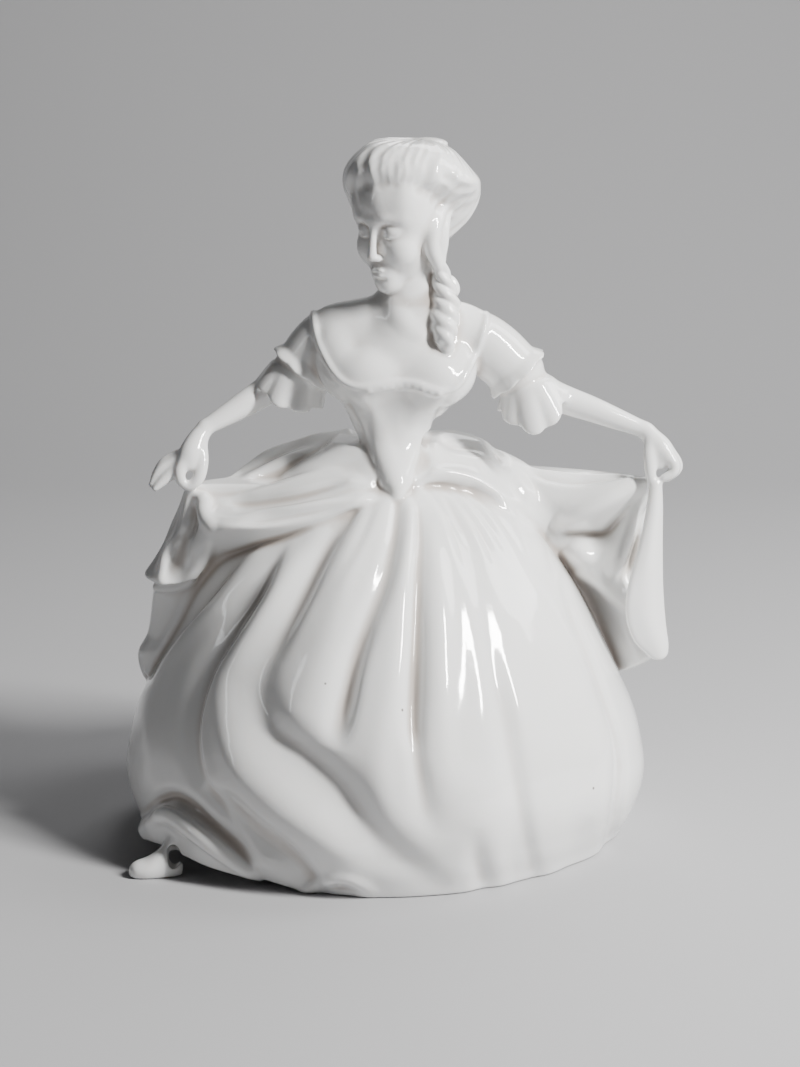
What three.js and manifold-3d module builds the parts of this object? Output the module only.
// Porcelain figurine of a dancer in a wide gown who holds out her overskirt with both hands.
// It is cast and fired as one piece, so it is one closed solid.
// Millimetres, +Z up. The front faces -Y and +X is on the viewer's right.

import * as THREE from 'three';
import Module from 'manifold-3d';

const wasm = await Module();
wasm.setup();

// Glaze colour and finish
const GLAZE_COLOUR = 0xeeeeea;
const GLAZE_ROUGHNESS = 0.12;

// Skirt: the bell stands round an upright axis at SKIRT_AXIS_X.
const SKIRT_AXIS_X = -3;
const SKIRT_SECTORS = 66;
const SKIRT_LEVELS = [0, 5, 11, 18, 27, 37, 47, 57, 67, 76, 84, 91, 97, 102, 106, 110, 113, 118];
// Half-width at a height, as pairs of height and radius, at the sides, in front and behind
const SIDE_PROFILE = [[0, 71.5], [5, 75.5], [19, 80], [36, 76.8], [48, 71.5], [64, 64], [79, 55.5],
  [95, 44.5], [108, 31], [113, 23], [118, 14]];
const FRONT_PROFILE = [[0, 66.5], [5, 70.5], [20, 74.5], [36, 72.5], [48, 68.5], [64, 61], [79, 52],
  [92, 41], [102, 29], [108, 20], [113, 14], [118, 9]];
const BACK_PROFILE = [[0, 68], [5, 71], [20, 74.5], [36, 73], [48, 70], [64, 64], [79, 56],
  [95, 46], [108, 33], [113, 26], [118, 17]];

// The side profile gives way to the front or back one between these shares of the turn.
const PROFILE_BLEND = [0.55, 0.95];

// Folds of the skirt: each runs through pairs of angle and height, from the top down.
// A negative depth is a valley and a positive one is a ridge. Width is the half-width at mid-depth.
const SKIRT_FOLDS = [
  { depth: -3.4, width: 4.2, path: [[-58, 106], [-77, 86], [-82, 59], [-80, 30], [-78, 8]] },
  { depth: -3.2, width: 4.2, path: [[-74, 106], [-91, 91], [-99, 66], [-102, 46]] },
  { depth: -2.8, width: 4.0, path: [[-38, 104], [-54, 75], [-58, 44], [-56, 10]] },
  { depth: -1.8, width: 4.0, path: [[-14, 92], [-24, 65], [-14, 33], [-8, 20]] },
  { depth: -2.2, width: 4.6, path: [[-30, 84], [-38, 50], [-33, 4]] },
  { depth: -4.2, width: 4.8, path: [[-116, 104], [-122, 85], [-128, 62], [-114, 43], [-96, 22], [-86, 6]] },
  { depth: -3.2, width: 4.4, path: [[-133, 93], [-141, 71], [-146, 54], [-134, 30], [-122, 10]] },
  { depth: -3.0, width: 4.0, path: [[-148, 95], [-158, 82], [-170, 63], [-172, 40]] },
  { depth: 2.4, width: 5.0, path: [[-124, 104], [-131, 85], [-137, 62], [-128, 42], [-110, 20]] },
  { depth: 2.2, width: 5.0, path: [[-142, 92], [-150, 75], [-157, 56], [-150, 30]] },
  { depth: 2.0, width: 6.0, path: [[-66, 104], [-86, 80], [-91, 55], [-88, 34]] },
  { depth: 2.0, width: 6.0, path: [[-46, 104], [-66, 77], [-70, 40], [-67, 10]] },
];
// A fold fades out over this height past its ends, and near the waist where the radius is small.
const FOLD_FADE = 5;
const FOLD_WAIST_RADII = [12, 34];
// Behind, the skirt falls in even folds that grow from the waist to the hem.
const BACK_FOLD_COUNT = 9;
const BACK_FOLD_DEPTH = 2.6;
const BACK_FOLD_TOP = 115;
const BACK_FOLD_GROWTH = 70;
const BACK_FOLD_START = [0.05, 0.5];

// The hem is lifted in an arch over the foot, with a rolled edge over the opening.
const ARCH_ANGLE = -142;
const ARCH_SPREAD = 16;
const ARCH_HEIGHT = 9.5;
const ARCH_FOOTING = 4;
const ARCH_RECESS = 18;
const ARCH_STEP = 3;
const ARCH_ROLL = {
  points: [[-74.6, -31, 8.8], [-70, -38.5, 12.4], [-66.4, -42.6, 14.8], [-56, -52, 11.6], [-42, -58, 4.6]],
  radii: [1.8, 3, 3.4, 3.4, 2.4],
};

// Overskirt: its lower edge round the bell as pairs of angle and height, and how far it stands out
const OVERSKIRT_THICKNESS = 3.2;
const OVERSKIRT_STEP = 3;
const OVERSKIRT_EDGE = [[-180, 46], [-172, 80], [-158, 91], [-149, 96], [-139, 101], [-119, 105],
  [-102, 108], [-85, 112], [-62, 112], [-50, 110], [-32, 109], [-20, 107], [-10, 102], [0, 92],
  [12, 70], [30, 44], [60, 36], [90, 33], [120, 34], [150, 38], [180, 46]];

// Filled body of the overskirt from the waist out to each hand, as upright sections:
// X, middle Y, middle height, half-depth and half-height
const DRAPE_POINTS = 14;
const LEFT_DRAPE = [
  [2, -2, 112, 14.5, 5],
  [-6, -3, 111.5, 16.5, 6],
  [-16, -4, 109, 20, 7],
  [-28, -4.5, 104.5, 21.5, 7.5],
  [-40, -6, 99.5, 21, 7.5],
  [-51, -8, 97.5, 17, 7],
  [-58, -10, 99.5, 9, 6],
  [-62, -10, 104, 3, 3],
];
const RIGHT_DRAPE = [
  [2, -2, 112, 13, 5],
  [10, 0, 111, 14, 6.5],
  [20, 1.5, 109, 13, 8],
  [30, 2, 105, 11.5, 8.5],
  [39, 2.5, 101, 9.5, 8.5],
  [46, 3, 98, 6, 8],
  [52, 4, 100, 3, 4],
];

// Rolled folds on top of it, each a path of points with a radius at every point
const OVERSKIRT_ROLLS = [
  { points: [[1, -15, 110], [-16, -20.5, 112.6], [-34, -23.5, 105.5], [-50, -18.5, 102.5], [-60, -10, 106.5]],
    radii: [3, 4.2, 4.4, 3.4, 1.5] },
  { points: [[-6, -18, 107], [-25, -24.5, 101.5], [-40, -26, 97], [-54, -22.5, 94.5], [-66, -17, 86]],
    radii: [2.6, 3.8, 4.4, 4.6, 3.4] },
  { points: [[-7, 8, 118], [-27, 12, 115.5], [-42, 8, 107.2], [-52, -1, 105.2], [-60, -9, 107.3]],
    radii: [5, 6.8, 5.8, 3.2, 1.5] },
  { points: [[3, -12.5, 110], [14, -12.6, 109], [23, -10.6, 107], [30, -9, 104], [36, -8, 99]],
    radii: [2.6, 2.6, 2.6, 2.4, 1.8] },
  { points: [[6, 8, 117.5], [24, 10, 114], [36, 7, 110], [46, 3, 105.3], [60, 1, 106.8], [76, -3, 108.8]],
    radii: [4.5, 6, 5.4, 3.4, 2, 1.5] },
];

// Left side of the overskirt, lifted by the hand, as a tent of level sections:
// height, outermost X, front Y, back Y and the Y of the outermost point
const TENT_INNER_X = -24;
const TENT_POINTS = 16;
const TENT_SECTIONS = [
  [44, -77.5, -1, 26, 8],
  [49, -78.8, -2, 27, 6],
  [54, -78.6, -4, 27, 4],
  [60, -75.6, -5, 27, 4],
  [72, -73.6, -8, 26, 1],
  [78, -73.4, -14, 24, -5],
  [82, -74.6, -20, 22, -11],
  [86, -72.6, -21, 20, -12],
  [92, -68.8, -21, 17, -12],
  [99, -65.2, -19, 13, -11],
  [105, -62.6, -15, 8, -10.5],
  [108.5, -61.2, -12, 2, -10],
];

// Right side of the overskirt: a curtain out to the hand. In front it shows the inner face of the
// cloth, and behind it runs back round the bell. Each level has an inner and an outer point in front.
const CURTAIN_FRONT_POINTS = 9;
const CURTAIN_BACK_POINTS = 6;
const CURTAIN_LEVELS = [0, 0.12, 0.25, 0.4, 0.55, 0.7, 0.85, 1];
const CURTAIN_TOP = [[36, 8, 109], [50, 4, 106.5], [66, 0, 108], [78.5, -3.5, 108.5]];
const CURTAIN_FOOT = [[50, 24, 40], [63, 18, 42.5], [75, 8, 48], [82.6, -3, 53.5]];
const CURTAIN_HOLLOW = 3;
const CURTAIN_WALL = 3.2;
const CURTAIN_BACK_ANGLE = 48;
// The inner end lies inside the bell, and the back swings between the outer edge and that end.
const CURTAIN_SINK = 0.86;
const CURTAIN_BEND_ALONG = 0.2;
const CURTAIN_BEND_DEEP = 0.45;
// Folds that spread from the hand across the curtain: position across, depth and width
const CURTAIN_FOLDS = [[0.3, 1.8, 0.12], [0.5, -2.4, 0.11], [0.68, 2.4, 0.1], [0.86, -2.2, 0.08]];
// The corner of the cloth falls from the hand as a leaf: height, X of its middle, Y, half-width, half-depth
const LEAF_POINTS = 8;
const LEAF_SECTIONS = [
  [51.8, 82.2, -5, 0.8, 0.8],
  [53.5, 81.6, -5.5, 2.4, 1.9],
  [58, 79.4, -6.2, 4.2, 2.6],
  [64, 77.6, -6.8, 5.6, 3.0],
  [71, 76.2, -7, 6, 3.0],
  [80, 76.6, -6.8, 5, 2.8],
  [90, 77.4, -6, 3.7, 2.5],
  [100, 78, -5, 2.6, 2.2],
  [107, 78, -4, 1.9, 1.8],
  [109.4, 78, -3.6, 1.0, 1.0],
];

// Bodice: level sections as height, middle X, middle Y, half-width and half-depth
const BODICE_POINTS = 16;
const BODICE_SECTIONS = [
  [104.5, 0.6, -19.5, 1, 2],
  [108.5, 0.5, -17.2, 3.4, 4.8],
  [112, 0.3, -13, 5.8, 7.8],
  [117, -0.4, -7.5, 8.6, 9],
  [121.5, -0.6, -4, 10.2, 9],
  [126.7, -0.3, -2.4, 13, 9.8],
  [132.5, 0.9, -2.6, 17, 11],
  [138, 1.3, -3.4, 20, 12],
  [143, 1.5, -3, 22.2, 11.6],
  [148, 1.8, -1.8, 23.8, 10.4],
  [153, 1.6, -0.2, 25.2, 9],
  [157.5, 1.2, 0.8, 25, 7.8],
  [160.5, 1.4, 1.2, 21.6, 6.4],
  [162.4, 2.4, 1, 14, 5.4],
  [164, 3, 0.4, 7, 4.4],
];
const BUST_RADII = [9.4, 7.6, 8.4];
const BUST_CENTRES = [[-7.6, -10, 140.6], [11.8, -10, 139.8]];
const NECK_PATH = [[3.2, 0.6, 156], [3.8, -0.4, 162], [4.2, -0.8, 168], [3.6, -1.4, 176]];
const NECK_RADII = [9, 7.8, 7, 7.4];

// Head: the face looks to the viewer's left and a little down.
const HEAD_CENTRE = [1.6, -3.4, 183.8];
const HEAD_YAW = 38;
const HEAD_PITCH = 11;
const HEAD_POINTS = 16;
// Level sections in the head's own frame: height, forward shift, half-width and half-depth
const HEAD_SECTIONS = [
  [-17, 10.2, 1.7, 2.2],
  [-15.5, 9.2, 4.4, 4.8],
  [-12, 5.7, 7.4, 8.3],
  [-7.6, 2.6, 9.5, 11.3],
  [-2.2, 0.9, 10.9, 13.3],
  [4.4, 0, 11.5, 13.9],
  [10.9, -0.7, 11.1, 12.9],
  [16.3, -1.1, 8.1, 9.4],
];
// Nose ridge in the head's own frame: forward, up and radius
const NOSE_PATH = [[12.4, 2.8, 1.1], [13.9, -1.5, 1.3], [14.9, -4.8, 1.6]];

// Hair: level sections as height, left and right X, front and back Y
const HAIR_POINTS = 18;
const HAIR_LOCKS = 10;
const HAIR_LOCK_DEPTH = 0.5;
const HAIR_SECTIONS = [
  [176.5, -4, 10, 2, 8.5],
  [180, -9, 16.6, 0.4, 11.2],
  [184.5, -11, 21.2, -2, 13.4],
  [189, -12.6, 23.8, -5, 14.8],
  [193.5, -14.4, 25.2, -10, 15.8],
  [197.5, -15.2, 25, -15.4, 16],
  [201.5, -14.4, 22, -16.6, 15.3],
  [205.5, -11.6, 18.2, -14.4, 13],
  [208.4, -7.8, 13, -9.4, 9.8],
  [209.6, -3.6, 8, -4, 6],
];
const BUN_CENTRE = [9.4, 5.5, 207.4];
const BUN_RADII = [6.2, 6, 2.1];
const RINGLET_PATH = [[12.8, -3, 180], [13.2, -5, 171], [13.6, -6.8, 162], [13.8, -9, 155],
  [15, -11.4, 149.2]];
const RINGLET_RADIUS = 2.3;
const RINGLET_TURNS = 5;
const RINGLET_BULGE = 0.45;

// Sleeves to the elbow, and the arms from there to the wrist, with a radius at every point
const SLEEVE_SIDES = 11;
const SLEEVES = [
  { points: [[14, 1.5, 153], [22, 2, 151.4], [29, 2, 147], [36, 2, 140.6]], radii: [6.6, 8.4, 9, 8.6] },
  { points: [[-10, 2, 153], [-19, 3.2, 151.2], [-24, 4, 146.4], [-27.4, 4.4, 141]],
    radii: [6.6, 8.4, 8.8, 8.6] },
];
const ARM_SIDES = 8;
const ARMS = [
  { points: [[33.6, 2, 143.6], [45, 1.8, 134.6], [60, 1, 128.8], [75.4, 0, 122.9]],
    radii: [5, 4.6, 3.8, 2.5] },
  { points: [[-28.8, 4.6, 144.2], [-37, 5, 135.6], [-46, 1, 130.2], [-56.4, -4, 124.7]],
    radii: [5, 4.6, 3.8, 2.5] },
];

// Sleeve frills: the start and the direction of each, its length, radii, droop and number of waves
const FRILL_POINTS = 16;
const FRILLS = [
  { start: [34.6, 2, 142.2], axis: [0.66, 0.02, -0.75],
    length: 4, inner: 8.4, outer: 11, wave: 0.9, waves: 4 },
  { start: [39.6, 1, 138], axis: [0.26, 0.02, -0.97],
    length: 10.4, inner: 7.2, outer: 11.2, wave: 1.3, waves: 4 },
  { start: [-26.2, 4.2, 143.4], axis: [-0.6, 0.02, -0.8],
    length: 3.8, inner: 8.4, outer: 10.8, wave: 0.9, waves: 4 },
  { start: [-28.8, 4.2, 141], axis: [-0.34, 0.02, -0.94],
    length: 9.6, inner: 8.2, outer: 11, wave: 1.2, waves: 4 },
];
const FRILL_WALL = 1.6;

// Hands: palm, thumb and fingers as short limbs
const HAND_SIDES = 6;
const HANDS = [
  { points: [[74.4, 0, 123.3], [78, -1, 120], [81.6, -2, 116.2]], radii: [2.7, 3.4, 3] },
  { points: [[77.4, -1.6, 119.2], [75.9, -4.4, 113.5], [76.3, -5.4, 107]], radii: [2.3, 2, 1.5] },
  { points: [[81, -1.6, 117], [84.2, -3.4, 112.6], [82.2, -4.4, 108.8]], radii: [2.8, 2.1, 1.6] },
  { points: [[-55.6, -3.6, 125.2], [-59.4, -6, 120.6], [-62.2, -8, 116]], radii: [2.7, 3.6, 3.6] },
  { points: [[-58.8, -7, 119.2], [-57.6, -10.4, 112.6], [-60.4, -11.6, 107.8]], radii: [2.4, 2, 1.5] },
  { points: [[-62.6, -8.6, 116], [-65.2, -11.4, 111], [-62.2, -12, 107.6]], radii: [2.5, 2, 1.5] },
  { points: [[-63, -7.4, 116.8], [-68.4, -9, 113.4], [-72.6, -11.6, 107.9]], radii: [2.8, 2.5, 1.1] },
];

// Foot in a low shoe, pointing out from under the hem: X, Y, half-width and height of each section
const FOOT_POINTS = 12;
const FOOT_SECTIONS = [
  [-61.8, -47.6, 1, 3.4],
  [-62.8, -47.6, 2.8, 6.4],
  [-65.5, -47.8, 3.9, 8.6],
  [-69, -48.4, 4.3, 7.6],
  [-72.4, -48.8, 4.3, 5.6],
  [-75.4, -49, 3.7, 4.6],
  [-77.6, -49, 1.4, 2.8],
];
const ANKLE_PATH = [[-66.5, -47, 5.5], [-64, -44, 9], [-60, -40, 13]];
const ANKLE_RADII = [3, 3.2, 4.5];

// A limb's rounded end: how far the last ring stands out and how small it is, as shares of the radius
const LIMB_END = 0.6;

const radians = THREE.MathUtils.degToRad;
const smoothstep = THREE.MathUtils.smoothstep;

function vector(xyz) {
  return new THREE.Vector3(xyz[0], xyz[1], xyz[2]);
}

// Value of a table of rising [key, value] pairs at one key
function lookUp(table, key) {
  if (key <= table[0][0]) return table[0][1];
  for (let i = 1; i < table.length; i += 1) {
    const [k0, v0] = table[i - 1];
    const [k1, v1] = table[i];
    if (key <= k1) return v0 + (v1 - v0) * (key - k0) / (k1 - k0);
  }
  return table[table.length - 1][1];
}

// A closed solid from vertices and triangles, turned so that its faces point out
function solidFromTriangles(vertices, triangles) {
  const vertProperties = new Float32Array(vertices.flatMap((v) => [v.x, v.y, v.z]));
  const triVerts = new Uint32Array(triangles.flat());
  const solid = new wasm.Manifold(new wasm.Mesh({ numProp: 3, vertProperties, triVerts }));
  if (solid.volume() > 0) return solid;
  const turned = triangles.flatMap(([a, b, c]) => [a, c, b]);
  return new wasm.Manifold(new wasm.Mesh({ numProp: 3, vertProperties, triVerts: new Uint32Array(turned) }));
}

// A closed solid through a stack of rings of equal length, with a fan on each end
function loft(rings) {
  const count = rings[0].length;
  const vertices = rings.flat();
  const triangles = [];
  for (let r = 0; r + 1 < rings.length; r += 1) {
    for (let i = 0; i < count; i += 1) {
      const a = r * count + i;
      const b = r * count + (i + 1) % count;
      triangles.push([a, b, b + count], [a, b + count, a + count]);
    }
  }
  const ends = [0, rings.length - 1];
  for (const end of ends) {
    const middle = new THREE.Vector3();
    for (const p of rings[end]) middle.addScaledVector(p, 1 / count);
    const centre = vertices.length;
    vertices.push(middle);
    for (let i = 0; i < count; i += 1) {
      const a = end * count + i;
      const b = end * count + (i + 1) % count;
      triangles.push(end === 0 ? [centre, b, a] : [centre, a, b]);
    }
  }
  return solidFromTriangles(vertices, triangles);
}

// A level ring: an ellipse at height z
function levelRing(z, x, y, halfWidth, halfDepth, count) {
  const ring = [];
  for (let i = 0; i < count; i += 1) {
    const t = 2 * Math.PI * i / count;
    ring.push(new THREE.Vector3(x + halfWidth * Math.cos(t), y + halfDepth * Math.sin(t), z));
  }
  return ring;
}

// A ball stretched to three radii
function ball(centre, radii, around, up) {
  const rings = [];
  for (let j = 1; j < up; j += 1) {
    const t = Math.PI * j / up;
    const s = Math.sin(t);
    const z = centre[2] - radii[2] * Math.cos(t);
    rings.push(levelRing(z, centre[0], centre[1], radii[0] * s, radii[1] * s, around));
  }
  return loft(rings);
}

// A round limb along a smooth path, with a radius at every path point and rounded ends
function limb(points, radii, sides, steps) {
  const curve = new THREE.CatmullRomCurve3(points.map(vector));
  const frames = curve.computeFrenetFrames(steps, false);
  const rings = [];
  const ringAt = (i, shift, scale) => {
    const t = i / steps;
    const place = curve.getPointAt(t).addScaledVector(frames.tangents[i], shift);
    const along = curve.getUtoTmapping(t) * (radii.length - 1);
    const low = Math.min(Math.floor(along), radii.length - 2);
    const radius = THREE.MathUtils.lerp(radii[low], radii[low + 1], along - low) * scale;
    const ring = [];
    for (let k = 0; k < sides; k += 1) {
      const a = 2 * Math.PI * k / sides;
      ring.push(place.clone()
        .addScaledVector(frames.normals[i], radius * Math.cos(a))
        .addScaledVector(frames.binormals[i], radius * Math.sin(a)));
    }
    return ring;
  };
  rings.push(ringAt(0, -LIMB_END * radii[0], LIMB_END));
  for (let i = 0; i <= steps; i += 1) rings.push(ringAt(i, 0, 1));
  rings.push(ringAt(steps, LIMB_END * radii[radii.length - 1], LIMB_END));
  return loft(rings);
}

// Radius of the bell at an angle and a height, blended from the side, front and back profiles
function bellRadius(angle, z) {
  const towardsFront = (1 - Math.sin(angle)) / 2;
  const front = smoothstep(towardsFront, ...PROFILE_BLEND);
  const back = smoothstep(1 - towardsFront, ...PROFILE_BLEND);
  return front * lookUp(FRONT_PROFILE, z) + back * lookUp(BACK_PROFILE, z)
    + (1 - front - back) * lookUp(SIDE_PROFILE, z);
}

// Smallest turn from one angle in degrees to another
function turnBetween(a, b) {
  return ((a - b + 540) % 360) - 180;
}

// How far the folds push the skirt out at an angle in degrees and a height
function foldPush(degrees, z, radius) {
  let push = 0;
  for (const fold of SKIRT_FOLDS) {
    const rising = fold.path.map(([a, h]) => [h, a]).reverse();
    const lowest = rising[0][0];
    const highest = rising[rising.length - 1][0];
    const across = radians(turnBetween(degrees, lookUp(rising, z))) * radius;
    const beyond = Math.max(lowest - z, z - highest, 0);
    const fade = Math.exp(-((beyond / FOLD_FADE) ** 2)) * smoothstep(radius, ...FOLD_WAIST_RADII);
    push += fold.depth * fade * Math.exp(-((across / fold.width) ** 2));
  }
  return push;
}

// Even folds behind, growing towards the hem
function backPush(degrees, z) {
  const behind = smoothstep(Math.sin(radians(degrees)), ...BACK_FOLD_START);
  const wave = Math.cos(radians(degrees - 90) * BACK_FOLD_COUNT);
  return BACK_FOLD_DEPTH * behind * wave * smoothstep(BACK_FOLD_TOP - z, 0, BACK_FOLD_GROWTH);
}

function skirtRadius(degrees, z) {
  let radius = bellRadius(radians(degrees), z);
  radius += foldPush(degrees, z, radius) + backPush(degrees, z);
  const above = z - lookUp(OVERSKIRT_EDGE, turnBetween(degrees, 0));
  radius += OVERSKIRT_THICKNESS * smoothstep(above, 0, OVERSKIRT_STEP);
  const nearFoot = Math.exp(-((turnBetween(degrees, ARCH_ANGLE) / ARCH_SPREAD) ** 2));
  const arch = (ARCH_HEIGHT + ARCH_FOOTING) * nearFoot - ARCH_FOOTING;
  radius -= ARCH_RECESS * smoothstep(arch - z, 0, ARCH_STEP);
  return radius;
}

function skirt() {
  const rings = SKIRT_LEVELS.map((z) => {
    const ring = [];
    for (let i = 0; i < SKIRT_SECTORS; i += 1) {
      const degrees = -180 + 360 * i / SKIRT_SECTORS;
      const radius = skirtRadius(degrees, z);
      const angle = radians(degrees);
      ring.push(new THREE.Vector3(SKIRT_AXIS_X + radius * Math.cos(angle), radius * Math.sin(angle), z));
    }
    return ring;
  });
  return loft(rings);
}

// The lifted left side of the overskirt
function tent() {
  const rings = TENT_SECTIONS.map(([z, outerX, frontY, backY, noseY]) => {
    const ring = [];
    const middleX = (outerX + TENT_INNER_X) / 2;
    const middleY = (frontY + backY) / 2;
    for (let i = 0; i < TENT_POINTS; i += 1) {
      const t = 2 * Math.PI * i / TENT_POINTS;
      const outward = Math.max(0, -Math.cos(t));
      const x = middleX + (TENT_INNER_X - outerX) / 2 * Math.cos(t);
      const y = middleY + (backY - frontY) / 2 * Math.sin(t) + (noseY - middleY) * outward ** 3;
      ring.push(new THREE.Vector3(x, y, z));
    }
    return ring;
  });
  return loft(rings);
}

// A body between upright sections, each an ellipse in the plane of one X
function drape(sections) {
  return loft(sections.map(([x, y, z, halfDepth, halfHeight]) => {
    const ring = [];
    for (let i = 0; i < DRAPE_POINTS; i += 1) {
      const t = 2 * Math.PI * i / DRAPE_POINTS;
      ring.push(new THREE.Vector3(x, y + halfDepth * Math.cos(t), z + halfHeight * Math.sin(t)));
    }
    return ring;
  }));
}

// Front face of the right curtain: u runs outwards from the bell and v from top to foot
function curtainFront(top, low, u, v) {
  const point = top.getPoint(u).lerp(low.getPoint(u), v);
  let push = CURTAIN_HOLLOW * Math.sin(Math.PI * v) * Math.sin(Math.PI * u);
  for (const [place, depth, width] of CURTAIN_FOLDS) {
    push -= depth * smoothstep(v, 0, 0.4) * Math.exp(-(((u - place) / width) ** 2));
  }
  point.y += push - CURTAIN_WALL / 2;
  return point;
}

// The right side of the overskirt as a loft of closed rings from its top edge to its hem
function curtain() {
  const top = new THREE.CatmullRomCurve3(CURTAIN_TOP.map(vector));
  const low = new THREE.CatmullRomCurve3(CURTAIN_FOOT.map(vector));
  const backAngle = radians(CURTAIN_BACK_ANGLE);
  const rings = CURTAIN_LEVELS.map((v) => {
    const ring = [];
    for (let i = 0; i < CURTAIN_FRONT_POINTS; i += 1) {
      ring.push(curtainFront(top, low, i / (CURTAIN_FRONT_POINTS - 1), v));
    }
    const inner = ring[0];
    const outer = ring[ring.length - 1].clone();
    outer.y += CURTAIN_WALL;
    const inside = CURTAIN_SINK * bellRadius(backAngle, inner.z);
    const endX = Math.min(SKIRT_AXIS_X + inside * Math.cos(backAngle), inner.x);
    const endY = Math.max(inside * Math.sin(backAngle), inner.y + 2 * CURTAIN_WALL);
    const end = new THREE.Vector3(endX, endY, inner.z);
    const bend = outer.clone().lerp(end, CURTAIN_BEND_ALONG);
    bend.y = THREE.MathUtils.lerp(outer.y, end.y, CURTAIN_BEND_DEEP);
    const back = new THREE.QuadraticBezierCurve3(outer, bend, end);
    for (let i = 0; i < CURTAIN_BACK_POINTS; i += 1) {
      ring.push(back.getPoint(i / (CURTAIN_BACK_POINTS - 1)));
    }
    return ring;
  });
  return loft(rings);
}

function leaf() {
  return loft(LEAF_SECTIONS.map(([z, x, y, w, d]) => levelRing(z, x, y, w, d, LEAF_POINTS)));
}

function bodice() {
  const rings = BODICE_SECTIONS.map(([z, x, y, w, d]) => levelRing(z, x, y, w, d, BODICE_POINTS));
  let solid = loft(rings);
  for (const centre of BUST_CENTRES) solid = solid.add(ball(centre, BUST_RADII, 12, 6));
  return solid;
}

// Place of a point given in the head's frame: across, forward and up
function headPoint(across, forward, up) {
  const pitch = radians(HEAD_PITCH);
  const yaw = radians(HEAD_YAW);
  const level = forward * Math.cos(pitch) + up * Math.sin(pitch);
  const z = up * Math.cos(pitch) - forward * Math.sin(pitch);
  const x = across * Math.cos(yaw) - level * Math.sin(yaw);
  const y = -across * Math.sin(yaw) - level * Math.cos(yaw);
  return new THREE.Vector3(HEAD_CENTRE[0] + x, HEAD_CENTRE[1] + y, HEAD_CENTRE[2] + z);
}

function head() {
  const rings = HEAD_SECTIONS.map(([up, forward, w, d]) => {
    const ring = [];
    for (let i = 0; i < HEAD_POINTS; i += 1) {
      const t = 2 * Math.PI * i / HEAD_POINTS;
      ring.push(headPoint(w * Math.cos(t), forward + d * Math.sin(t), up));
    }
    return ring;
  });
  const nose = NOSE_PATH.map(([forward, up]) => headPoint(0, forward, up).toArray());
  return loft(rings).add(limb(nose, NOSE_PATH.map((row) => row[2]), 8, 4));
}

// Swept-back hair, wide and high, with shallow locks round it
function hair() {
  const rings = HAIR_SECTIONS.map(([z, left, right, front, back]) => {
    const w = (right - left) / 2;
    const d = (back - front) / 2;
    const ring = [];
    for (let i = 0; i < HAIR_POINTS; i += 1) {
      const t = 2 * Math.PI * i / HAIR_POINTS;
      const swell = 1 + HAIR_LOCK_DEPTH / w * Math.cos(HAIR_LOCKS * t);
      ring.push(new THREE.Vector3(left + w + w * swell * Math.cos(t), front + d + d * swell * Math.sin(t), z));
    }
    return ring;
  });
  return loft(rings).add(ball(BUN_CENTRE, BUN_RADII, 10, 5));
}

// The ringlet beside the neck swells at every turn.
function ringlet() {
  const steps = RINGLET_TURNS * 2;
  const curve = new THREE.CatmullRomCurve3(RINGLET_PATH.map(vector));
  const points = [];
  const radii = [];
  for (let i = 0; i <= steps; i += 1) {
    points.push(curve.getPointAt(i / steps).toArray());
    radii.push(RINGLET_RADIUS + RINGLET_BULGE * (i % 2 === 0 ? -1 : 1));
  }
  return limb(points, radii, 6, steps);
}

// A frill round a sleeve: it flares to a waved edge and turns back inside.
function frill({ start, axis, length, inner, outer, wave, waves }) {
  const along = vector(axis).normalize();
  const side = new THREE.Vector3(0, 1, 0).cross(along).normalize();
  const front = new THREE.Vector3().crossVectors(along, side);
  const ringAt = (distance, radius, waviness) => {
    const ring = [];
    for (let i = 0; i < FRILL_POINTS; i += 1) {
      const t = 2 * Math.PI * i / FRILL_POINTS;
      const r = radius + waviness * Math.cos(waves * t);
      const lift = -0.8 * waviness * Math.cos(waves * t);
      ring.push(vector(start)
        .addScaledVector(along, distance + lift)
        .addScaledVector(side, r * Math.cos(t))
        .addScaledVector(front, r * Math.sin(t)));
    }
    return ring;
  };
  return loft([
    ringAt(0, inner, 0),
    ringAt(0.5 * length, inner + 0.35 * (outer - inner), 0.4 * wave),
    ringAt(length, outer, wave),
    ringAt(length, outer - FRILL_WALL, wave),
    ringAt(0.7 * length, inner - 0.3 * FRILL_WALL, 0.4 * wave),
  ]);
}

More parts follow.
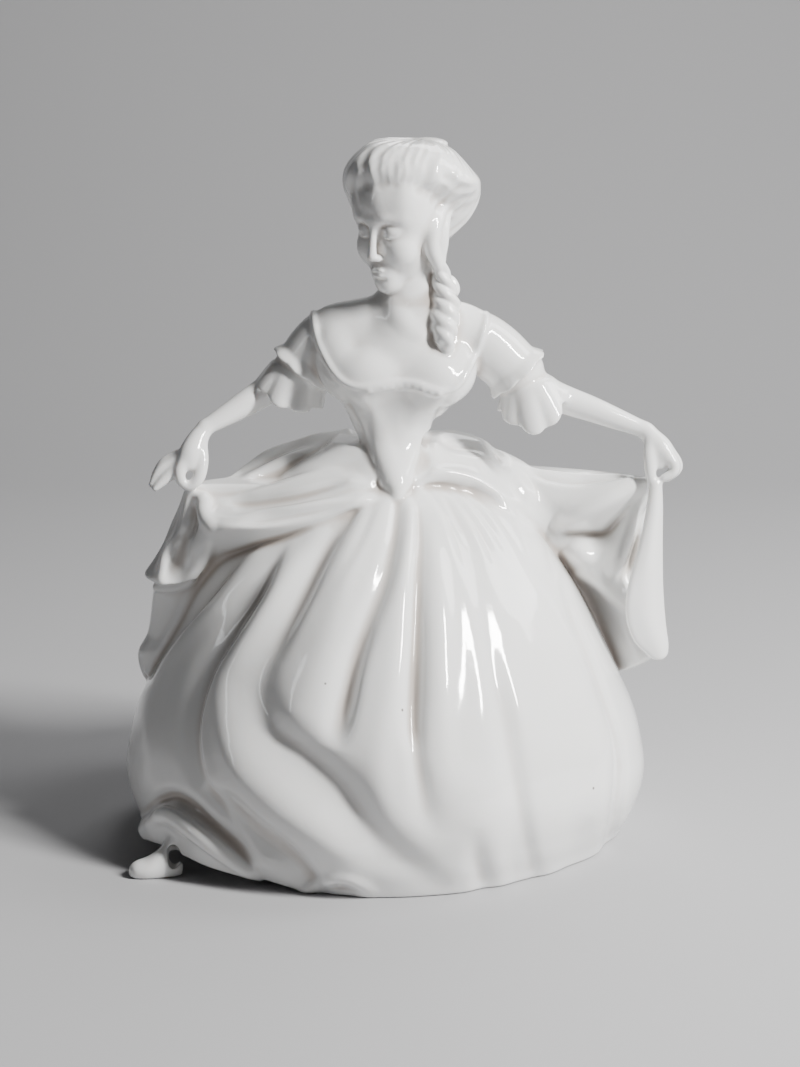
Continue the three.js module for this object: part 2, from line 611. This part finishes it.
function foot() {
  const rings = FOOT_SECTIONS.map(([x, y, halfWidth, height]) => {
    const ring = [];
    for (let i = 0; i < FOOT_POINTS; i += 1) {
      const t = 2 * Math.PI * i / FOOT_POINTS;
      const z = Math.max(0, height / 2 + height / 2 * Math.sin(t) * (Math.sin(t) < 0 ? 1.6 : 1));
      ring.push(new THREE.Vector3(x, y + halfWidth * Math.cos(t), z));
    }
    return ring;
  });
  return loft(rings);
}

const pieces = [
  drape(LEFT_DRAPE),
  drape(RIGHT_DRAPE),
  tent(),
  curtain(),
  leaf(),
  bodice(),
  limb(NECK_PATH, NECK_RADII, 12, 4),
  head(),
  hair(),
  ringlet(),
  foot(),
  limb(ANKLE_PATH, ANKLE_RADII, 8, 3),
  limb(ARCH_ROLL.points, ARCH_ROLL.radii, 7, 6),
];
for (const roll of OVERSKIRT_ROLLS) pieces.push(limb(roll.points, roll.radii, 7, 6));
for (const sleeve of SLEEVES) pieces.push(limb(sleeve.points, sleeve.radii, SLEEVE_SIDES, 4));
for (const arm of ARMS) pieces.push(limb(arm.points, arm.radii, ARM_SIDES, 6));
for (const ring of FRILLS) pieces.push(frill(ring));
for (const finger of HANDS) pieces.push(limb(finger.points, finger.radii, HAND_SIDES, 4));

let whole = skirt();
for (const piece of pieces) whole = whole.add(piece);

// One mesh, moved so that the origin is at the middle of its bounding box, on the base plane
function meshGeometry(solid) {
  const mesh = solid.getMesh();
  const geometry = new THREE.BufferGeometry();
  geometry.setAttribute('position', new THREE.BufferAttribute(new Float32Array(mesh.vertProperties), 3));
  geometry.setIndex(new THREE.BufferAttribute(new Uint32Array(mesh.triVerts), 1));
  geometry.computeBoundingBox();
  const box = geometry.boundingBox;
  geometry.translate(-(box.min.x + box.max.x) / 2, -(box.min.y + box.max.y) / 2, -box.min.z);
  geometry.computeVertexNormals();
  return geometry;
}

const glaze = new THREE.MeshStandardMaterial({
  color: GLAZE_COLOUR,
  roughness: GLAZE_ROUGHNESS,
  metalness: 0,
});
const figurine = new THREE.Mesh(meshGeometry(whole), glaze);
figurine.name = 'figurine';

const group = new THREE.Group();
group.add(figurine);

export default group;
